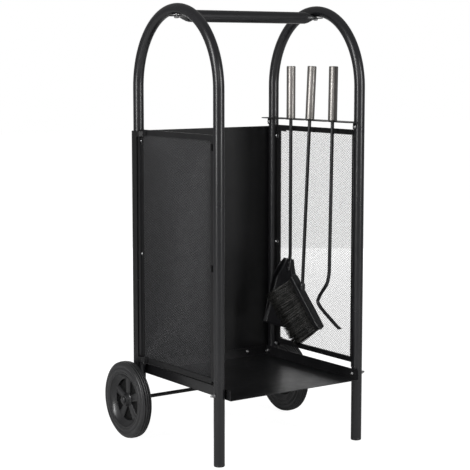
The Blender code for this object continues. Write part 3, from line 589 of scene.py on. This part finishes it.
def wheel(side, sign):
    body = f"wheel_{side}"
    out = X * sign
    base = Vector((sign * WHEEL_IN, AXLE.y, AXLE.z))
    width = WHEEL_OUT - WHEEL_IN
    ribs = []
    groove, depth = 0.0017, 0.0026
    tread_low, tread_high = 0.0042, width - 0.0042
    pitch = (tread_high - tread_low + groove) / TYRE_RIBS
    for i in range(TYRE_RIBS):
        a = tread_low + pitch * i
        b = a + pitch - groove
        crown = WHEEL_R - (0.0010 if i in (0, TYRE_RIBS - 1) else 0.0)
        ribs += [(a - 0.0001, crown - depth), (a + 0.0002, crown - 0.0008), (a + 0.0010, crown),
                 (b - 0.0010, crown), (b - 0.0002, crown - 0.0008), (b + 0.0001, crown - depth)]
    shoulder = [(0.0012, 0.0662), (0.0002, 0.0685), (0.0, 0.0712), (0.0004, 0.0738), (0.0014, 0.0746),
                (0.0018, 0.0760), (0.0014, 0.0774), (0.0006, 0.0786), (0.0006, 0.0815), (0.0014, 0.0842),
                (0.0030, 0.0860)]
    profile = shoulder + ribs + [(width - a, r) for a, r in reversed(shoulder)]
    bm = bmesh.new()
    turn(bm, profile, base, out, 96, closed=True)
    piece(f"ribbed_tyre_{side}", bm, RUBBER, body, [f"tyre_{side}"], smooth=50)

    bm = bmesh.new()
    rim = [(0.0015, 0.0600), (0.0015, 0.0655), (0.0022, RIM_R), (width - 0.0022, RIM_R),
           (width - 0.0010, 0.0655), (width - 0.0008, 0.0638), (width - 0.0014, 0.0622),
           (width - 0.0034, 0.0612), (width - 0.0075, 0.0560), (width - 0.0110, 0.0512),
           (width - 0.0118, 0.0496), (width - 0.0122, 0.0490), (width - 0.0180, 0.0490), (0.0085, 0.0490),
           (0.0080, 0.0496), (0.0070, 0.0530), (0.0030, 0.0585)]
    turn(bm, rim, base, out, 96, closed=True)
    top = box("wheel_hub_right")[1].x - WHEEL_IN
    boss = [(0.0, 0.0050), (0.0, 0.0132), (0.0006, 0.0140), (0.0080, 0.0160), (0.0085, 0.0170),
            (0.0155, 0.0170), (0.0162, 0.0162), (0.0190, 0.0138), (top - 0.0010, 0.0124), (top, 0.0116),
            (top, 0.0092), (top - 0.0010, 0.0088), (top - 0.0010, 0.0050)]
    turn(bm, boss, base, out, 48, closed=True)
    piece(f"wheel_rim_{side}", bm, PLASTIC, body, [f"wheel_hub_{side}"])
    bm = bmesh.new()
    # The web between the spokes wears the near-black plastic: painted shade in the recess.
    web = [(0.0083, 0.0130), (0.0083, 0.0492), (0.0095, 0.0492), (0.0100, 0.0300), (0.0095, 0.0130)]
    turn(bm, web, base, out, 96, closed=True)
    piece(f"wheel_web_{side}", bm, PAINTED_SHADE_PLASTIC, body, ())
    bm = bmesh.new()
    for spoke in range(SPOKES):
        spin = Matrix.Rotation(math.radians(90 + 360 / SPOKES * spoke), 3, "X")
        rings = []
        for radius, half in SPOKE_WIDTHS:
            ring = []
            for a, depth in SPOKE_SECTION:
                spot = spin @ Vector((0, radius, a * half))
                ring.append(bm.verts.new(base + out * depth + Vector((0, spot.y, spot.z))))
            rings.append(ring)
        skin(bm, rings)
    piece(f"wheel_spokes_{side}", bm, PLASTIC, body, (), bevel=0.0006)


# ---------------------------------------------------------------- tools

def axis_of(tool):
    """Foot of the tool's grip and the direction it leans."""
    axis = Vector((*GRIP_LEAN[tool], 1)).normalized()
    return middle(f"{tool}_plug") - axis * GRIP_SEAT, axis


def grip(tool):
    seat, axis = axis_of(tool)
    wall, length = GRIP_WALL, GRIP_LENGTH
    bm = bmesh.new()
    turn(bm, [(0, GRIP_R - wall), (0, GRIP_R - 0.0003), (0.0004, GRIP_R), (length - 0.0016, GRIP_R),
              (length - 0.0006, GRIP_R - 0.0004), (length - 0.0001, GRIP_R - 0.0014),
              (length, GRIP_R - 0.003),
              (length, 0), (length - wall, 0), (length - wall, GRIP_R - wall)], seat, axis, 48, closed=True)
    piece(f"{tool}_grip", bm, STEEL, tool, [f"{tool}_handle"])
    return seat, axis


def shovel():
    seat, axis = grip("shovel")
    crank = seat - axis * (seat.z - CRANK_Z)
    down = Vector((-PAN_TILT, 0, -1)).normalized()
    inward = Vector((-1, 0, PAN_TILT)).normalized()
    flat = 0.45
    heel = crank + down * 0.006 - inward * (ROD_R * flat + 0.0003 + PAN_T)
    side = down.cross(inward)
    bm = bmesh.new()
    points = [seat + axis * ROD_IN_GRIP, seat - axis * 0.02, crank + axis * 0.06, crank + axis * 0.016,
              crank + axis * 0.006, crank + down * 0.006, crank + down * 0.020, crank + down * 0.035,
              crank + down * 0.036]
    scales = [(1, 1)] * 4 + [(0.9, 1.1), (flat, 1.6), (flat, 1.6), (flat, 1.5), (flat * 0.5, 0.8)]
    tube(bm, points, ROD_R, 20, scales)
    piece("shovel_shaft", bm, COAT, "shovel", ["shovel_rod"])

    def at(run, table):
        run = max(PAN_RUN[0], min(PAN_RUN[-1], run))
        for i in range(2):
            if run <= PAN_RUN[i + 1]:
                t = (run - PAN_RUN[i]) / (PAN_RUN[i + 1] - PAN_RUN[i])
                return table[i] + (table[i + 1] - table[i]) * t
        return table[-1]

    bm = bmesh.new()
    rows = []
    count = 34
    for k in range(count + 1):
        run = PAN_RUN[-1] * k / count
        shoulder = math.sin(min(1.0, run / PAN_RUN[1]) * math.pi / 2)
        half = PAN_HALF[0] + (at(run, PAN_HALF) - PAN_HALF[0]) * (0.6 + 0.4 * shoulder)
        wall = at(run, PAN_WALL) * (0.55 + 0.45 * min(1.0, run / 0.018))
        cross = [(half, wall), (half, wall * 0.6)] + [
            (half - PAN_FOLD + PAN_FOLD * math.cos(a), PAN_FOLD - PAN_FOLD * math.sin(a))
            for a in (math.radians(d) for d in (0, 22, 45, 68, 90))]
        cross = [(w, min(h, wall)) for w, h in cross] + [(half * 0.5, 0.0), (0.0, 0.0)]
        line = cross + [(-w, h) for w, h in reversed(cross[:-1])]
        rows.append([bm.verts.new(heel + down * run + side * w + inward * (h + PAN_T / 2)) for w, h in line])
    for a, b in zip(rows, rows[1:]):
        for i in range(len(a) - 1):
            bm.faces.new((a[i], a[i + 1], b[i + 1], b[i]))
    pan = piece("pressed_pan", bm, COAT, "shovel", ["shovel_pan"], smooth=60)
    shell = pan.modifiers.new("sheet", "SOLIDIFY")
    shell.thickness = PAN_T
    shell.offset = 0
    for name in ("upper", "lower"):
        dress([f"shovel_rivet_{name}"], COAT)


def brush():
    seat, axis = grip("brush")
    joint = seat - axis * ((seat.z - BRUSH_JOINT_Z) / axis.z)
    ahead = Vector((math.sin(BRUSH_YAW), -math.cos(BRUSH_YAW), 0))
    down = ahead * math.sin(BRUSH_TILT) - Z * math.cos(BRUSH_TILT)
    back = -ahead * math.cos(BRUSH_TILT) - Z * math.sin(BRUSH_TILT)
    side = back.cross(down)

    def place(along, wide, deep):
        return joint + down * along + side * wide + back * deep

    bm = bmesh.new()
    tube(bm, [joint + axis * (0.012 + 0.03 * i) for i in range(14)] + [seat + axis * ROD_IN_GRIP], ROD_R, 24)
    piece("brush_shaft", bm, COAT, "brush", ["brush_rod"])

    above, below = BLOCK_RUN
    (right, left), (near, far) = BLOCK_WIDE, BLOCK_DEEP
    outline = arc((-above + 0.007, right + 0.007), 0.007, 180, 270, 8)
    outline += arc((below - 0.006, right + 0.006), 0.006, 270, 360, 8)
    outline += arc((below - 0.006, left - 0.006), 0.006, 0, 90, 8)
    outline += arc((-above + 0.007, left - 0.007), 0.007, 90, 180, 8)
    bm = bmesh.new()
    extrude(bm, outline, near, far, place)
    piece("brush_back", bm, PLASTIC, "brush", ["brush_block"], bevel=0.0022, bevel_steps=4)
    bm = bmesh.new()
    turn(bm, [(-0.003, 0.0062), (0.006, 0.0066), (0.014, 0.0066), (0.018, 0.0063), (0.0200, 0.0056),
              (0.0204, 0.0043), (0.0204, 0)], joint, axis, 32)
    piece("brush_neck", bm, PLASTIC, "brush", ())
    bristles(place, above, below, far)


def bristles(place, above, below, far):
    """Tufts in rows across the block; each strand bows a little on its way to the fanned tips."""
    chance = random.Random(7)
    rows, columns, strands = 30, 5, 26
    bm = bmesh.new()
    for i in range(rows):
        t = i / (rows - 1)
        along = -above + 0.008 + (above + below - 0.014) * t
        tip_along = -above + 0.005 + (above + below - 0.010) * t
        low = TOP_SPREAD[0] + (BOTTOM_SPREAD[0] - TOP_SPREAD[0]) * t
        high = TOP_SPREAD[1] + (BOTTOM_SPREAD[1] - TOP_SPREAD[1]) * t
        for j in range(columns):
            share = j / (columns - 1)
            wide = ROOT_SPREAD[0] + (ROOT_SPREAD[1] - ROOT_SPREAD[0]) * share
            tip_wide = low + (high - low) * share
            tuft = (chance.gauss(0, 0.0014), chance.gauss(0, 0.0012))
            for _ in range(strands):
                spot = (along + chance.gauss(0, 0.0006), wide + chance.gauss(0, 0.0006))
                end = (tip_along + tuft[0] + chance.gauss(0, 0.0020),
                       tip_wide + tuft[1] + chance.gauss(0, 0.0018))
                length = BRISTLE_LENGTH * (1 - abs(chance.gauss(0, 0.035)))
                strand(bm, place, spot, end, far, length, chance.gauss(0, 0.0011))
    piece("bristle_tufts", bm, FIBRE, "brush", ["brush_bristles"], smooth=180)


def strand(bm, place, spot, end, far, length, bow):
    rings = []
    for t, radius in ((0.0, 0.00044), (0.35, 0.00042), (0.7, 0.00038), (1.0, 0.00016)):
        swing = bow * math.sin(math.pi * t)
        along = spot[0] + (end[0] - spot[0]) * t + swing
        wide = spot[1] + (end[1] - spot[1]) * t ** 1.2 + swing
        deep = far - 0.001 + (length + 0.001) * t
        rings.append([bm.verts.new(place(along + radius * a, wide + radius * b, deep))
                      for a, b in ((1, 0), (-0.5, 0.87), (-0.5, -0.87))])
    skin(bm, rings)


def poker():
    seat, axis = grip("poker")
    bends = [(0.0, 0.4050), (0.0010, 0.3830), (0.0073, 0.3612), (0.0230, 0.3420), (0.0360, 0.3247),
             (0.0395, 0.3131), (0.0250, 0.2997), (-0.0020, 0.2835), (-0.0280, 0.2689), (-0.0420, 0.2620)]
    lean = (axis.x / axis.z, axis.y / axis.z)
    points = [seat + axis * ROD_IN_GRIP, seat - axis * 0.10, seat - axis * 0.20, seat - axis * 0.27]
    for step, z in bends:
        drop = seat.z - max(z, 0.3)
        points.append(Vector((seat.x - lean[0] * drop, seat.y - lean[1] * drop + step, z)))
    line = smooth_line(points, 6)
    total = len(line)
    scales = []
    for i in range(total):
        t = max(0.0, 1 - (total - 1 - i) / 9)
        scales.append((1 + 0.6 * t, 1 - 0.75 * t))
    bm = bmesh.new()
    tube(bm, line, ROD_R, 24, scales)
    piece("poker_shaft", bm, COAT, "poker", ["poker_rod"])


# ---------------------------------------------------------------- studio

def light(name, spot, target, size, power):
    data = bpy.data.lights.new(name, "AREA")
    data.shape = "RECTANGLE"
    data.size, data.size_y = size
    data.energy = power
    lamp = bpy.data.objects.new(name, data)
    lamp.location = spot
    lamp.rotation_euler = (Vector(target) - Vector(spot)).to_track_quat("-Z", "Y").to_euler()
    lamp.visible_camera = False
    bpy.context.scene.collection.objects.link(lamp)


def studio():
    bm = bmesh.new()
    slab(bm, (-12, -12, -0.02), (12, 12, 0))
    mesh = bpy.data.meshes.new("studio_floor")
    bm.to_mesh(mesh)
    bm.free()
    mat, tree, shader = shader_of("studio_floor", 0.9)
    paper = tint(tree, noise(tree, 3), (0.72, 0.72, 0.72), (0.74, 0.74, 0.74))
    mix = tree.nodes.new("ShaderNodeMix")
    mix.data_type = "RGBA"
    mix.inputs["B"].default_value = (0.30, 0.30, 0.30, 1)
    tree.links.new(paper, mix.inputs["A"])
    tree.links.new(mix.outputs["Result"], shader.inputs["Base Color"])
    seen_only(tree, mix.inputs["Factor"], 0.0, 1.0)
    shader.inputs["Emission Color"].default_value = (1, 1, 1, 1)
    seen_only(tree, shader.inputs["Emission Strength"], 0.0, 0.92)
    mesh.materials.append(mat)
    floor = bpy.data.objects.new("studio_floor", mesh)
    bpy.context.scene.collection.objects.link(floor)
    world = bpy.data.worlds.new("studio")
    bpy.context.scene.world = world
    world.use_nodes = True
    back = world.node_tree.nodes["Background"]
    back.inputs["Color"].default_value = (1, 1, 1, 1)
    seen_only(world.node_tree, back.inputs["Strength"], 0.27, 1.0)
    light("strip_left", (-2.5, -0.4, 1.20), (0, 0, 1.20), (0.38, 1.4), 34)
    light("strip_right", (0.65, -2.45, 1.20), (0, 0, 1.20), (0.38, 1.4), 30)
    light("side_left", (-2.4, -0.7, 2.3), (0, 0, 0.7), (0.9, 0.9), 24)
    light("back_card", (1.9, 2.6, 0.75), (0, 0, 0.3), (2.4, 1.5), 13)
    light("front_fill", (-1.5, -2.6, 1.6), (0, 0, 0.6), (0.8, 0.8), 5)
    bpy.context.scene.view_settings.view_transform = "Standard"


def seen_only(tree, socket, other, seen):
    """The paper reads white to the camera while its reflections on the rack stay dim."""
    path = tree.nodes.new("ShaderNodeLightPath")
    ranged = tree.nodes.new("ShaderNodeMapRange")
    ranged.inputs["To Min"].default_value = other
    ranged.inputs["To Max"].default_value = seen
    tree.links.new(path.outputs["Is Camera Ray"], ranged.inputs["Value"])
    tree.links.new(ranged.outputs["Result"], socket)


def camera():
    data = bpy.data.cameras.new("camera")
    data.sensor_width = 36
    data.lens = 110.86
    view = bpy.data.objects.new("camera", data)
    view.location = (-1.9297, -2.7145, 0.8870)
    view.rotation_euler = (math.radians(82.915), 0, math.radians(-35.223))
    bpy.context.scene.collection.objects.link(view)
    bpy.context.scene.camera = view


camera()
studio()
for side, sign in SIDES:
    side_frame(side, sign)
    mesh_panel(side, sign)
    wheel(side, sign)
leg_caps()
handle_bar()
back_panel()
tray()
fasteners()
shovel()
brush()
poker()
# Mesh frames and tool holder wear the darkened coat copy: painted shade.
dress(["mesh_frame_left", "mesh_frame_right", "tool_holder"], SHADED_FRAME_COAT, 0.0003)
dress(["axle"], COAT)
dress(["handle_rivet_nut_left", "handle_rivet_nut_right"], ZINC)
dress([f"{tool}_plug" for tool in ("shovel", "brush", "poker")], ZINC)
dress([f"axle_{part}_{side}" for part in ("spacer", "push_cap") for side, _ in SIDES], PLASTIC)
